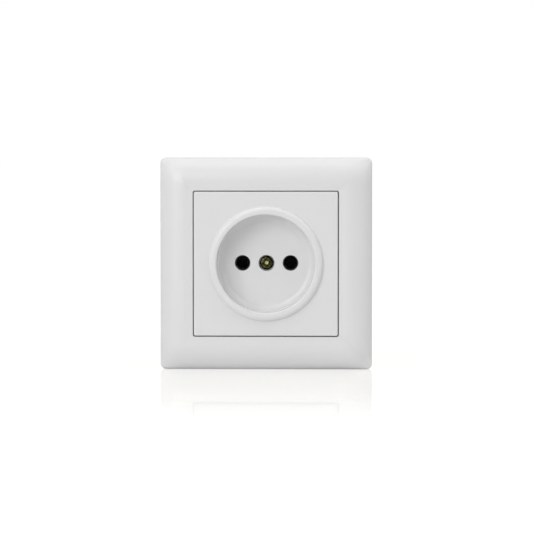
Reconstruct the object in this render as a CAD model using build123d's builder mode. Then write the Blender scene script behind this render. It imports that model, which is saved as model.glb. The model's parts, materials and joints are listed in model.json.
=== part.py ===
"""Ungrounded two-pole wall socket, flush mounted.

Millimetres. X runs to the right, +Z is up, and the front faces -Y. The wall surface is the plane Y = 0.
Levels are written as a distance out from the wall: positive is in front of it, negative inside the wall box.
"""

import os
from math import atan2, cos, radians, sin, sqrt

from build123d import *

os.makedirs("parts", exist_ok=True)

# Plug side: two round pins, and the round well that takes the plug's body
pin_pitch = 19.0
pin_hole_d = 5.8
pin_length = 19.0
pin_guide_d = 5.1
pin_tip_room = 0.8
well_d = 38.7
well_depth = 11.9
well_wall = 1.6
well_fillet_r = 3.0
floor_t = 2.0

# Outer frame
frame_side = 83.5
frame_corner_r = 2.2
frame_side_wall = 4.7
frame_edge_r = 1.2
frame_crest = 9.3
crest_slope = 1.0
face_flat = 3.3
face_dish = 0.22
corner_growth = 1.2
frame_skin = 1.8
aperture_side = 57.5
aperture_corner_r = 0.9
rim_wall = 1.6
ledge_w = 1.6
ledge_t = 1.5
ledge_front = 5.2
driver_notch_w = 10.0
rib_t = 1.2
rib_h = 2.8
rib_x = 18.0

# Centre cover
cover_gap = 0.42
cover_proud = 0.2
cover_t = 2.0
cover_edge_r = 0.4
skirt_wall = 1.4
bead_w = 3.25
bead_h = 1.9
bead_lip_r = 0.6

# Middle screw and its nut
cover_screw_r = 1.5
cover_head_r = 2.7
cover_head_h = 1.8
cover_head_clear = 0.3
cover_head_sink = 2.5
cover_seat_t = 2.5
cover_screw_len = 12.0
cross_turn = 18.0
boss_wall = 1.0
nut_side = 5.5
nut_t = 2.4
nut_cover = 3.2

# Yoke plate
yoke_t = 1.2
yoke_edge = 2.0
yoke_corner = 10.0
yoke_clear = 0.45
box_screw_gap = 2.6
box_slot_w = 4.2
box_slot_len = 7.0

# Moulded base, and the guard that closes its contact chambers
moulding_clear = 0.3
flange_edge = 1.0
flange_floor = 2.0
body_top = 10.0
body_wall = 1.5
body_corner_r = 1.5
body_edge_r = 1.2
rear_room = 1.0
gusset_t = 1.8
gusset_len = 10.0
gusset_gap = 1.2
guard_t = 1.6
guard_collar = 3.0
guard_lead = 0.5

# Contacts and grip springs
strip_t = 0.8
grip_gap = 3.8
leaf_h = 7.0
flare_out = 1.5
flare_len = 2.6
mouth_inset = 3.6
bend_r = 1.0
spring_t = 0.5
spring_len = 5.0
spring_inset = 3.2

# Terminals
tail_half = 4.1
tail_ledge = 0.6
terminal_drop = 13.6
terminal_half_h = 4.7
terminal_screw_r = 1.75
terminal_head_r = 2.6
terminal_head_h = 2.2
terminal_screw_len = 8.5
collar_r = 2.8
collar_h = 1.5
wire_gap = 2.0
clamp_t = 1.2
clamp_side = 6.2

# Claws and their screws
claw_gap = 0.8
claw_screw_r = 1.5
claw_head_r = 2.75
claw_head_h = 2.0
claw_screw_len = 26.0
claw_running = 0.3
claw_t = 1.6
claw_half_w = 5.5
claw_depth = 18.5
claw_grip = 4.4
claw_flange_len = 7.0
claw_tooth = 0.9
claw_teeth = 3
claw_foot = 3.3
foot_clear = 1.2
claw_swing = 10.0
claw_draw = 5.0
ramp_clear = 0.35
ramp_w = 2.6
guide_t = 1.5
guide_clear = 0.5

# Rivets
rivet_r = 1.5
rivet_head_r = 2.4
rivet_head_h = 0.8
rivet_x = 9.0
rivet_gap = 0.95
rivet_edge = 0.7

# Levels and radii that follow from the sizes above
pin_x = pin_pitch / 2
pin_r = pin_hole_d / 2
well_r = well_d / 2
well_out_r = well_r + well_wall
bead_r = well_r + bead_w
plate_front = frame_crest + cover_proud
plate_back = plate_front - cover_t
bead_crest = plate_front + bead_h
floor_front = bead_crest - well_depth
floor_back = floor_front - floor_t
guard_front = floor_back - moulding_clear
recess_floor = guard_front - guard_t
cover_side = aperture_side - 2 * cover_gap
cover_corner_r = aperture_corner_r - cover_gap / 2
head_seat = floor_front - cover_head_sink
boss_back = head_seat - cover_seat_t
boss_r = cover_head_r + cover_head_clear + boss_wall
post_face = boss_back - moulding_clear
nut_seat = post_face - nut_cover
contact_front = floor_front - pin_length - pin_tip_room
contact_back = contact_front - strip_t
clamp_front = contact_back - wire_gap
clamp_back = clamp_front - clamp_t
base_back = clamp_back - terminal_head_h - rear_room
terminal_z = -terminal_drop
terminal_low = terminal_z - terminal_half_h
body_low = terminal_low - body_wall
chamber_half = tail_half + moulding_clear
chamber_top = leaf_h / 2 + spring_t + moulding_clear
leaf_out = grip_gap / 2 + strip_t
flange_back = recess_floor - flange_floor
# going outwards from the well: claw screws, rivets, the base's flange, the box screws and the yoke's edge.
# The rivets clear both the well and the body below it.
yoke_hole_r = well_out_r + yoke_clear
claw_screw_x = well_out_r + claw_gap + claw_head_r
claw_hole_r = claw_screw_r + claw_running
claw_reach = claw_screw_x + claw_grip
pivot_x = claw_screw_x - claw_head_r
foot_x = claw_screw_x - claw_foot
body_half = foot_x - foot_clear
rivet_low = rivet_head_r + moulding_clear - body_low
rivet_ring_r = max(well_out_r + rivet_gap + rivet_head_r, sqrt(rivet_x**2 + rivet_low**2))
rivet_z = sqrt(rivet_ring_r**2 - rivet_x**2)
flange_half = claw_screw_x + flange_edge
flange_r = rivet_ring_r + rivet_head_r + rivet_edge
box_pitch = 2 * (flange_r + box_screw_gap)
yoke_side = box_pitch + box_slot_len + 2 * yoke_edge


def at(out):
    """A work plane that faces the room, at this distance out from the wall."""
    return Plane.XZ.offset(out)


# The frame's face leans in a little along the aperture, then it is one arc that steepens towards the edge.
# Its radius follows from the run and the drop, so the arc always meets the side wall.
frame_half = frame_side / 2
aperture_half = aperture_side / 2
crest_half = aperture_half + face_flat
face_run = frame_half - crest_half
face_drop = frame_crest - frame_side_wall
slope_in = radians(crest_slope)
slope_out = 2 * atan2(face_drop, face_run) - slope_in
face_r = face_run / (sin(slope_out) - sin(slope_in))


def face_half(slope):
    """Half the width of the frame's outline where its face has this slope."""
    return crest_half + face_r * (sin(slope) - sin(slope_in))


def face_level(slope):
    """How far out from the wall the frame's face is where it has this slope."""
    return frame_crest - face_r * (cos(slope_in) - cos(slope))


def face_corner(half):
    """Corner radius of the outline: it grows inwards, so the corners blend with no mitre line."""
    return frame_corner_r + corner_growth * (frame_half - half)


# Outer frame: a thin shell with a rim that stands on the yoke and a ledge that the cover sits on
with BuildPart() as outer_frame:
    with BuildSketch(at(0)):
        RectangleRounded(frame_side, frame_side, frame_corner_r)
    extrude(amount=frame_side_wall)
    face_steps = 8
    slope_end = slope_in * 0.2
    for step in range(face_steps + 1):
        slope = slope_out + (slope_end - slope_out) * step / face_steps
        half = face_half(slope)
        with BuildSketch(at(face_level(slope))):
            RectangleRounded(2 * half, 2 * half, face_corner(half))
    loft()
    shoulder = outer_frame.edges().filter_by_position(
        Axis.Y, -frame_side_wall - 0.01, -frame_side_wall + 0.01
    )
    fillet(shoulder, radius=frame_edge_r)
    # the margin along the aperture leans in, so the light breaks there
    dish_over = face_dish / 4
    dish_w = face_flat * (face_dish + dish_over) / face_dish
    dish_side = aperture_side + 2 * dish_w
    with BuildSketch(at(frame_crest + dish_over)):
        RectangleRounded(dish_side, dish_side, aperture_corner_r + dish_w)
    with BuildSketch(at(frame_crest - face_dish)):
        RectangleRounded(aperture_side, aperture_side, aperture_corner_r)
    loft(mode=Mode.SUBTRACT)
    # the hollow behind follows the face, one skin thickness behind it
    rim_half = aperture_half + rim_wall
    for step in range(4):
        slope = slope_out * 0.94 + (slope_in * 1.6 - slope_out * 0.94) * step / 3
        half = max(face_half(slope) - frame_skin * sin(slope), rim_half)
        with BuildSketch(at(face_level(slope) - frame_skin * cos(slope))):
            RectangleRounded(2 * half, 2 * half, face_corner(half))
        if step == 0:
            back_half = half
            back_level = face_level(slope) - frame_skin * cos(slope)
    loft(ruled=True, mode=Mode.SUBTRACT)
    with BuildSketch(at(0)):
        RectangleRounded(2 * back_half, 2 * back_half, face_corner(back_half))
    extrude(amount=back_level, mode=Mode.SUBTRACT)
    with BuildSketch(at(yoke_t)):
        RectangleRounded(2 * rim_half, 2 * rim_half, aperture_corner_r + rim_wall)
    extrude(amount=frame_crest - frame_skin + 0.4 - yoke_t)
    with BuildSketch(at(0)):
        RectangleRounded(aperture_side, aperture_side, aperture_corner_r)
    extrude(amount=frame_crest + 1, mode=Mode.SUBTRACT)
    with BuildSketch(at(ledge_front - ledge_t)):
        RectangleRounded(2 * rim_half - rim_wall, 2 * rim_half - rim_wall, aperture_corner_r + rim_wall / 2)
        RectangleRounded(
            aperture_side - 2 * ledge_w, aperture_side - 2 * ledge_w, aperture_corner_r, mode=Mode.SUBTRACT
        )
    extrude(amount=ledge_t)
    # ribs that tie the rim to the side walls, clear of the yoke
    with BuildSketch(at(yoke_t + moulding_clear)):
        with Locations((-rib_x, 0), (rib_x, 0)):
            Rectangle(rib_t, 2 * back_half + frame_skin)
        with Locations((0, -rib_x), (0, rib_x)):
            Rectangle(2 * back_half + frame_skin, rib_t)
        Rectangle(2 * rim_half - rim_wall, 2 * rim_half - rim_wall, mode=Mode.SUBTRACT)
    extrude(amount=rib_h)
    # notches that leave room for the heads of the box screws
    with BuildSketch(at(yoke_t)):
        Rectangle(driver_notch_w, 2 * rim_half + 2)
        Rectangle(2 * rim_half + 2, driver_notch_w)
    extrude(amount=ledge_front - ledge_t - yoke_t, mode=Mode.SUBTRACT)

outer_frame.part.label = "outer_frame"
export_step(outer_frame.part, "parts/outer_frame.step")

# Centre cover: plate, skirt, bead ring, plug well, pin holes and the boss for the middle screw
with BuildPart() as centre_cover:
    with BuildSketch(at(plate_back)):
        RectangleRounded(cover_side, cover_side, cover_corner_r)
    extrude(amount=cover_t)
    fillet(centre_cover.faces().sort_by(Axis.Y)[0].edges(), radius=cover_edge_r)
    with BuildSketch(at(ledge_front)):
        RectangleRounded(cover_side, cover_side, cover_corner_r)
        skirt_in = cover_side - 2 * skirt_wall
        RectangleRounded(skirt_in, skirt_in, cover_corner_r, mode=Mode.SUBTRACT)
    extrude(amount=plate_back - ledge_front)
    with BuildSketch(at(plate_back)):
        Circle(well_r + well_wall / 2)
    extrude(amount=cover_t, mode=Mode.SUBTRACT)
    # the cup is one profile turned about the middle: floor, wall, lip and bead
    with BuildSketch(Plane.XY):
        with BuildLine():
            Line((0, -floor_front), (well_r - well_fillet_r, -floor_front))
            RadiusArc(
                (well_r - well_fillet_r, -floor_front),
                (well_r, -floor_front - well_fillet_r),
                well_fillet_r,
                short_sagitta=True,
            )
            Line((well_r, -floor_front - well_fillet_r), (well_r, -bead_crest + bead_lip_r))
            RadiusArc(
                (well_r, -bead_crest + bead_lip_r), (well_r + bead_lip_r, -bead_crest), -bead_lip_r
            )
            Line((well_r + bead_lip_r, -bead_crest), (bead_r - bead_h, -bead_crest))
            RadiusArc((bead_r - bead_h, -bead_crest), (bead_r, -plate_front), -bead_h)
            Line((bead_r, -plate_front), (bead_r, -plate_front + cover_t / 2))
            Line((bead_r, -plate_front + cover_t / 2), (well_out_r, -plate_front + cover_t / 2))
            Line((well_out_r, -plate_front + cover_t / 2), (well_out_r, -floor_back))
            Line((well_out_r, -floor_back), (0, -floor_back))
            Line((0, -floor_back), (0, -floor_front))
        make_face()
    revolve(axis=Axis.Y)
    with BuildSketch(at(boss_back)):
        Circle(boss_r)
    extrude(amount=floor_back - boss_back)
    with BuildSketch(at(floor_front)):
        Circle(cover_head_r + cover_head_clear)
    extrude(amount=-cover_head_sink, mode=Mode.SUBTRACT)
    with BuildSketch(at(head_seat)):
        Circle(cover_screw_r + cover_head_clear)
    extrude(amount=-cover_seat_t, mode=Mode.SUBTRACT)
    with BuildSketch(at(floor_front)):
        with Locations((-pin_x, 0), (pin_x, 0)):
            Circle(pin_r)
    extrude(amount=-floor_t, mode=Mode.SUBTRACT)

centre_cover.part.label = "centre_cover"
export_step(centre_cover.part, "parts/centre_cover.step")

# Middle screw: its head is sunk in the well floor and its thread is in the nut
with BuildPart() as cover_screw:
    with BuildSketch(at(head_seat)):
        Circle(cover_head_r)
    extrude(amount=cover_head_h)
    fillet(cover_screw.faces().sort_by(Axis.Y)[0].edges(), radius=cover_head_h * 0.45)
    with BuildSketch(at(head_seat)):
        Circle(cover_screw_r)
    extrude(amount=-cover_screw_len)
    chamfer(cover_screw.faces().sort_by(Axis.Y)[-1].edges(), length=cover_screw_r * 0.3)
    with BuildSketch(at(head_seat + cover_head_h)):
        Rectangle(cover_head_r * 1.2, cover_head_r * 0.27, rotation=cross_turn)
        Rectangle(cover_head_r * 1.2, cover_head_r * 0.27, rotation=cross_turn + 90)
    extrude(amount=-cover_head_h * 0.75, mode=Mode.SUBTRACT)

cover_screw.part.label = "cover_screw"
export_step(cover_screw.part, "parts/cover_screw.step")

# Square nut, held from turning by its pocket in the base
with BuildPart() as cover_nut:
    with BuildSketch(at(nut_seat)):
        Rectangle(nut_side, nut_side)
        Circle(cover_screw_r, mode=Mode.SUBTRACT)
    extrude(amount=-nut_t)

cover_nut.part.label = "cover_nut"
export_step(cover_nut.part, "parts/cover_nut.step")

# Yoke plate: a steel stamping that lies on the wall
with BuildPart() as yoke_plate:
    with BuildSketch(at(0)) as yoke_outline:
        Rectangle(yoke_side, yoke_side)
        chamfer(yoke_outline.vertices(), length=yoke_corner)
        Circle(yoke_hole_r, mode=Mode.SUBTRACT)
        with Locations((0, box_pitch / 2), (0, -box_pitch / 2)):
            SlotOverall(box_slot_len, box_slot_w, rotation=90, mode=Mode.SUBTRACT)
        for side in (-1, 1):
            with Locations((side * (claw_screw_x + claw_running), 0)):
                SlotOverall(2 * claw_hole_r + 2 * claw_running, 2 * claw_hole_r, mode=Mode.SUBTRACT)
        with Locations(
            (rivet_x, rivet_z), (-rivet_x, rivet_z), (rivet_x, -rivet_z), (-rivet_x, -rivet_z)
        ):
            Circle(rivet_r, mode=Mode.SUBTRACT)
    extrude(amount=yoke_t)

yoke_plate.part.label = "yoke_plate"
export_step(yoke_plate.part, "parts/yoke_plate.step")

# Ramp line of a claw: the straight line between the ends of the path of the claw's foot, set back by the
# clearance. The foot is drawn along the screw while the screw tilts about the inner edge of its head.
swing = radians(claw_swing)
foot_dx = foot_x - pivot_x
foot_dy = claw_depth + yoke_t - claw_draw
foot_end_x = pivot_x + foot_dx * cos(swing) + foot_dy * sin(swing)
foot_end_depth = foot_dy * cos(swing) - foot_dx * sin(swing) - yoke_t
path_x = foot_end_x - foot_x
path_y = foot_end_depth - claw_depth
path_len = sqrt(path_x**2 + path_y**2)
ramp_x = foot_x + path_y / path_len * ramp_clear
ramp_depth = claw_depth - path_x / path_len * ramp_clear
ramp_top_x = ramp_x + path_x
ramp_top_depth = ramp_depth + path_y
ramp_foot_depth = ramp_depth + (ramp_x - body_half + 0.5) * -path_y / path_x
guide_half = claw_half_w + guide_clear

# Moulded base: flange behind the yoke, contact chambers, terminal pockets, nut pocket and claw ramps
with BuildPart() as mechanism_base:
    with BuildSketch(at(0)):
        Circle(flange_r)
        Rectangle(2 * flange_half, 3 * flange_r, mode=Mode.INTERSECT)
    extrude(amount=flange_back)
    with BuildSketch(at(recess_floor)):
        with Locations((0, (body_top + body_low) / 2)):
            RectangleRounded(2 * body_half, body_top - body_low, body_corner_r)
    extrude(amount=base_back - recess_floor)
    rear = mechanism_base.faces().sort_by(Axis.Y)[-1]
    fillet(rear.edges(), radius=body_edge_r)
    for side in (-1, 1):
        # two ramps a side, with the claw screw running between them, and a guide wall beyond each
        for low in (claw_half_w - 0.2 - ramp_w, 0.2 - claw_half_w):
            with BuildSketch(Plane.XY.offset(low)):
                with BuildLine():
                    Polyline(
                        (side * (body_half - 0.5), -flange_back - 0.5),
                        (side * ramp_top_x, -flange_back - 0.5),
                        (side * ramp_top_x, ramp_top_depth),
                        (side * (body_half - 0.5), ramp_foot_depth),
                        close=True,
                    )
                make_face()
            extrude(amount=ramp_w)
        for low in (guide_half, -guide_half - guide_t):
            with BuildSketch(Plane.XY.offset(low)):
                with BuildLine():
                    Polyline(
                        (side * (body_half - 0.5), -flange_back - 0.5),
                        (side * flange_half, -flange_back - 0.5),
                        (side * flange_half, claw_depth - claw_flange_len),
                        (side * (body_half - 0.5), claw_depth + claw_t),
                        close=True,
                    )
                make_face()
            extrude(amount=guide_t)
    # gussets brace the flange against the top of the body, outside the rivets
    gusset_in = rivet_x + rivet_head_r + gusset_gap
    for low in (gusset_in, -gusset_in - gusset_t):
        with BuildSketch(Plane.YZ.offset(low)):
            with BuildLine():
                Polyline(
                    (-flange_back - 0.5, body_top - 0.5),
                    (-flange_back - 0.5, rivet_z - gusset_gap),
                    (-flange_back + 0.5, rivet_z - gusset_gap),
                    (-flange_back + gusset_len, body_top + 0.5),
                    (-flange_back + gusset_len, body_top - 0.5),
                    close=True,
                )
            make_face()
        extrude(amount=gusset_t)
    # the guard and the well's floor sit in a round recess, and the boss in a deeper one
    with BuildSketch(at(0)):
        Circle(well_out_r + moulding_clear)
    extrude(amount=recess_floor, mode=Mode.SUBTRACT)
    with BuildSketch(at(recess_floor)):
        Circle(boss_r + moulding_clear)
    extrude(amount=post_face - recess_floor, mode=Mode.SUBTRACT)
    with BuildSketch(at(post_face)):
        Circle(cover_screw_r + cover_head_clear)
    extrude(amount=nut_seat - post_face, mode=Mode.SUBTRACT)
    with BuildSketch(at(nut_seat)):
        Rectangle(nut_side + moulding_clear, nut_side + moulding_clear)
    extrude(amount=base_back - nut_seat, mode=Mode.SUBTRACT)
    # pockets from the rear keep the walls even, two beside each chamber and one under the nut
    chamber_out = pin_x + chamber_half
    core_w = body_half - chamber_out - 2 * body_wall
    core_top = body_top - body_wall
    core_h = (core_top - terminal_low - body_wall) / 2
    nut_low = -(nut_side + moulding_clear) / 2 - body_wall
    with BuildSketch(at(base_back)):
        for side in (-1, 1):
            with Locations(
                (side * (body_half + chamber_out) / 2, core_top - core_h / 2),
                (side * (body_half + chamber_out) / 2, terminal_low + core_h / 2),
            ):
                Rectangle(core_w, core_h)
        with Locations((0, (nut_low + terminal_low) / 2)):
            Rectangle(2 * (pin_x - chamber_half - body_wall), nut_low - terminal_low)
    extrude(amount=flange_back - body_wall - base_back, mode=Mode.SUBTRACT)
    for side in (-1, 1):
        with BuildSketch(at(recess_floor)):
            with Locations((side * pin_x, (chamber_top + terminal_low) / 2)):
                Rectangle(2 * chamber_half, chamber_top - terminal_low)
        extrude(amount=contact_back - recess_floor, mode=Mode.SUBTRACT)
        # the terminal is reached from the rear, and its wire comes in from below
        with BuildSketch(at(contact_back)):
            with Locations((side * pin_x, terminal_z - body_wall)):
                Rectangle(2 * (tail_half - tail_ledge), 2 * (terminal_half_h + body_wall))
        extrude(amount=base_back - contact_back, mode=Mode.SUBTRACT)
        with BuildSketch(at(0)):
            with Locations((side * (claw_screw_x + flange_half / 2), 0)):
                Rectangle(flange_half + 2 * (claw_hole_r + claw_running), 2 * (claw_hole_r + claw_running))
        extrude(amount=flange_back, mode=Mode.SUBTRACT)
    with BuildSketch(at(0)):
        with Locations(
            (rivet_x, rivet_z), (-rivet_x, rivet_z), (rivet_x, -rivet_z), (-rivet_x, -rivet_z)
        ):
            Circle(rivet_r)
    extrude(amount=flange_back, mode=Mode.SUBTRACT)

mechanism_base.part.label = "mechanism_base"
export_step(mechanism_base.part, "parts/mechanism_base.step")

# Contact guard: a disc over the contact chambers, with a collared opening for each pin
with BuildPart() as contact_guard:
    with BuildSketch(at(recess_floor)):
        Circle(well_out_r)
        Circle(boss_r + moulding_clear, mode=Mode.SUBTRACT)
    extrude(amount=guard_t)
    collar_out_r = min(chamber_half, chamber_top) - moulding_clear
    with BuildSketch(at(recess_floor)):
        with Locations((-pin_x, 0), (pin_x, 0)):
            Circle(collar_out_r)
    extrude(amount=-guard_collar)
    with BuildSketch(at(guard_front)):
        with Locations((-pin_x, 0), (pin_x, 0)):
            Circle(pin_guide_d / 2)
    extrude(amount=-guard_t - guard_collar, mode=Mode.SUBTRACT)
    # each opening is led in from the front
    front_rings = contact_guard.faces().sort_by(Axis.Y)[0].edges().filter_by(GeomType.CIRCLE)
    chamfer(front_rings.sort_by(SortBy.RADIUS)[:2], length=guard_lead)

contact_guard.part.label = "contact_guard"
export_step(contact_guard.part, "parts/contact_guard.step")

# The pieces that come in pairs, left and right
for tag, side in (("left", -1), ("right", 1)):
    # Contact: a trough with two sprung leaves and flared lips, and a tail that is the terminal plate
    with BuildPart() as contact:
        mid = side * pin_x
        leaf_mid = grip_gap / 2 + strip_t / 2
        leaf_top = leaf_h / 2
        web_mid = strip_t / 2 - leaf_h / 2
        mouth = mouth_inset - recess_floor
        leaf_start = mouth + flare_len
        with BuildSketch(at(-leaf_start)):
            with BuildLine():
                FilletPolyline(
                    (mid - leaf_mid, leaf_top),
                    (mid - leaf_mid, web_mid),
                    (mid + leaf_mid, web_mid),
                    (mid + leaf_mid, leaf_top),
                    radius=bend_r,
                )
            trace(line_width=strip_t)
        extrude(amount=contact_back + leaf_start)
        lip_low = web_mid + bend_r
        with BuildSketch(Plane.XY.offset(lip_low)):
            for lip in (-1, 1):
                with BuildLine():
                    Polyline(
                        (mid + lip * grip_gap / 2, leaf_start),
                        (mid + lip * leaf_out, leaf_start),
                        (mid + lip * (leaf_out + flare_out), mouth),
                        (mid + lip * (grip_gap / 2 + flare_out), mouth),
                        close=True,
                    )
                make_face()
        extrude(amount=leaf_top - lip_low)
        with BuildSketch(at(contact_front)):
            tail_top = terminal_z + terminal_half_h
            tail_low = terminal_low + moulding_clear
            neck_top = web_mid + strip_t / 2
            with Locations((mid, (tail_top + tail_low) / 2)):
                Rectangle(2 * tail_half, tail_top - tail_low)
            with Locations((mid, (neck_top + tail_top) / 2)):
                Rectangle(grip_gap, neck_top - tail_top)
        extrude(amount=-strip_t)
        with BuildSketch(at(contact_front)):
            with Locations((mid, terminal_z)):
                Circle(collar_r)
        extrude(amount=collar_h)
        with BuildSketch(at(contact_back)):
            with Locations((mid, terminal_z)):
                Circle(terminal_screw_r)
        extrude(amount=strip_t + collar_h, mode=Mode.SUBTRACT)
    contact.part.label = f"contact_{tag}"
    export_step(contact.part, f"parts/contact_{tag}.step")

    # Grip spring: a clip over the two leaves
    with BuildPart() as grip_spring:
        with BuildSketch(at(-leaf_start - spring_inset)):
            with Locations((mid, spring_t / 2)):
                Rectangle(2 * (leaf_out + spring_t), leaf_h + spring_t)
            with Locations((mid, 0)):
                Rectangle(2 * leaf_out, leaf_h, mode=Mode.SUBTRACT)
        extrude(amount=-spring_len)
    grip_spring.part.label = f"grip_spring_{tag}"
    export_step(grip_spring.part, f"parts/grip_spring_{tag}.step")

    # Clamp plate: presses the bare wire on the tail
    with BuildPart() as clamp_plate:
        with BuildSketch(at(clamp_front)):
            with Locations((mid, terminal_z)):
                Rectangle(clamp_side, clamp_side)
                Circle(terminal_screw_r, mode=Mode.SUBTRACT)
        extrude(amount=-clamp_t)
    clamp_plate.part.label = f"clamp_plate_{tag}"
    export_step(clamp_plate.part, f"parts/clamp_plate_{tag}.step")

    # Terminal screw: its head faces the rear
    with BuildPart() as terminal_screw:
        with BuildSketch(at(clamp_back)):
            with Locations((mid, terminal_z)):
                Circle(terminal_head_r)
        extrude(amount=-terminal_head_h)
        fillet(terminal_screw.faces().sort_by(Axis.Y)[-1].edges(), radius=terminal_head_h * 0.3)
        with BuildSketch(at(clamp_back)):
            with Locations((mid, terminal_z)):
                Circle(terminal_screw_r)
        extrude(amount=terminal_screw_len)
        with BuildSketch(at(clamp_back - terminal_head_h)):
            with Locations((mid, terminal_z)):
                Rectangle(terminal_head_r * 2.2, terminal_head_r * 0.3)
        extrude(amount=terminal_head_h * 0.5, mode=Mode.SUBTRACT)
    terminal_screw.part.label = f"terminal_screw_{tag}"
    export_step(terminal_screw.part, f"parts/terminal_screw_{tag}.step")

    # Claw: a stamping with a toothed flange, and two feet that ride up the ramps
    with BuildPart() as claw:
        root_x = claw_reach - claw_tooth
        flange_top = claw_depth - claw_flange_len
        tooth_pitch = (claw_flange_len + claw_t) / claw_teeth
        outline = [
            (side * foot_x, claw_depth + claw_t),
            (side * foot_x, claw_depth),
            (side * (root_x - claw_t / 2), claw_depth),
            (side * (root_x - claw_t / 2), flange_top),
        ]
        for tooth in range(claw_teeth):
            tooth_front = flange_top + tooth * tooth_pitch
            outline.append((side * root_x, tooth_front))
            outline.append((side * claw_reach, tooth_front + claw_tooth * 0.3))
        outline.append((side * root_x, claw_depth + claw_t))
        with BuildSketch(Plane.XY):
            with BuildLine():
                Polyline(*outline, close=True)
            make_face()
        extrude(amount=claw_half_w, both=True)
        with BuildSketch(at(-claw_depth)):
            with Locations((side * claw_screw_x, 0)):
                Circle(claw_hole_r + claw_t * 0.7)
        extrude(amount=-claw_t * 2)
        with BuildSketch(at(-claw_depth)):
            with Locations((side * claw_screw_x, 0)):
                Circle(claw_hole_r)
        extrude(amount=-claw_t * 2, mode=Mode.SUBTRACT)
        # a notch parts the flange into two prongs
        with BuildSketch(at(-flange_top)):
            with Locations((side * claw_reach, 0)):
                Rectangle(4 * claw_t, claw_half_w * 0.6)
        extrude(amount=-claw_flange_len * 0.8, mode=Mode.SUBTRACT)
    claw.part.label = f"claw_{tag}"
    export_step(claw.part, f"parts/claw_{tag}.step")

    # Claw screw: its flat head lies on the yoke and tips up on its inner edge as the claw spreads
    with BuildPart() as claw_screw:
        with BuildSketch(at(yoke_t)):
            with Locations((side * claw_screw_x, 0)):
                Circle(claw_head_r)
        extrude(amount=claw_head_h)
        fillet(claw_screw.faces().sort_by(Axis.Y)[0].edges(), radius=claw_head_h * 0.3)
        with BuildSketch(at(yoke_t)):
            with Locations((side * claw_screw_x, 0)):
                Circle(claw_screw_r)
        extrude(amount=-claw_screw_len)
        chamfer(claw_screw.faces().sort_by(Axis.Y)[-1].edges(), length=claw_screw_r * 0.3)
        with BuildSketch(at(yoke_t + claw_head_h)):
            with Locations((side * claw_screw_x, 0)):
                Rectangle(claw_head_r * 2.2, claw_head_r * 0.3)
        extrude(amount=-claw_head_h * 0.5, mode=Mode.SUBTRACT)
    claw_screw.part.label = f"claw_screw_{tag}"
    export_step(claw_screw.part, f"parts/claw_screw_{tag}.step")

    # Rivets: flange to yoke, one above and one below on this side
    for place, up in (("upper", 1), ("lower", -1)):
        with BuildPart() as rivet:
            with BuildSketch(at(flange_back - rivet_head_h)):
                with Locations((side * rivet_x, up * rivet_z)):
                    Circle(rivet_head_r)
            extrude(amount=rivet_head_h)
            with BuildSketch(at(flange_back)):
                with Locations((side * rivet_x, up * rivet_z)):
                    Circle(rivet_r)
            extrude(amount=yoke_t - flange_back)
            with BuildSketch(at(yoke_t)):
                with Locations((side * rivet_x, up * rivet_z)):
                    Circle(rivet_head_r)
            extrude(amount=rivet_head_h)
            heads = rivet.faces().sort_by(Axis.Y)
            fillet(heads[0].edges() + heads[-1].edges(), radius=rivet_head_h * 0.7)
        rivet.part.label = f"base_rivet_{place}_{tag}"
        export_step(rivet.part, f"parts/base_rivet_{place}_{tag}.step")
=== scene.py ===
# %% [markdown]
# # A two-pin wall socket, from its solids to its picture
# The socket is already built as exact solids, one for each piece, and they come in as a fixed frame in
# metres: X to the right, Z up, the wall at Y = 0 and the room on the -Y side. This lesson gives every
# piece its real surface. Soft edges catch the light, screws get threads and driver recesses, and moulded
# plastic, plated steel, spring steel and brass each get a finish of their own. Sizes of pieces are in
# millimetres, and MM turns them into metres.

import json
import math

import bmesh
import bpy
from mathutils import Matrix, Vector

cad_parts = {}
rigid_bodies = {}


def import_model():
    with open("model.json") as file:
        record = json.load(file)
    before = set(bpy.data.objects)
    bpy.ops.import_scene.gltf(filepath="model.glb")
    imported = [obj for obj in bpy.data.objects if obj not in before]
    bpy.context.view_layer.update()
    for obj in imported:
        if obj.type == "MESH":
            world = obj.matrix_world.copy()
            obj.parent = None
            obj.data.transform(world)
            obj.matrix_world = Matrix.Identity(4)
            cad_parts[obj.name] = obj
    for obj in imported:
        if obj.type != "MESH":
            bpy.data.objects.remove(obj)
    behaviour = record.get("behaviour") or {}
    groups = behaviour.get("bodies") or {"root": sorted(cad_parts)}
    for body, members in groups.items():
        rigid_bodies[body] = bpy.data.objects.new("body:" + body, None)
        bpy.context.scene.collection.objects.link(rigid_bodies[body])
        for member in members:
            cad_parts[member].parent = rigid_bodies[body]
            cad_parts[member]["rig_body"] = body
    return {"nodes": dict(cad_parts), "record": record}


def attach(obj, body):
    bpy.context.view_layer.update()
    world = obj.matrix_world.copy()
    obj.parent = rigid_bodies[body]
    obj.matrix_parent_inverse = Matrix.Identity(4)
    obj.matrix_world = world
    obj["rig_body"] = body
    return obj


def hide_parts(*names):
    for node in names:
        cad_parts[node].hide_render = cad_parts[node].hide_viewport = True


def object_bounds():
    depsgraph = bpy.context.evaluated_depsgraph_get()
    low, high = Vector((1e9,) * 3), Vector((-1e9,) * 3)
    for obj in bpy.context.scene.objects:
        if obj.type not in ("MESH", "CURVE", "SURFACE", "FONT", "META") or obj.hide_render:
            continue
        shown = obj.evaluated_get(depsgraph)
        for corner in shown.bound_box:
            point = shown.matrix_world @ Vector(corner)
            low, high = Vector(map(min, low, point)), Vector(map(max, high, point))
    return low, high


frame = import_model()
cad_low, cad_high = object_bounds()
solids = frame["nodes"]
MM = 0.001
print(len(solids), "solids, box in mm:", [round(v / MM, 1) for v in cad_high - cad_low])

# %% [markdown]
# ## The camera
# The photograph was taken from about a metre away with a long lens, a little to the right of the socket
# and a little above it. The floor of the well against its rim gives the two angles, and the width of the
# frame in the picture gives the lens. A long lens far away keeps the square frame square.

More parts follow.
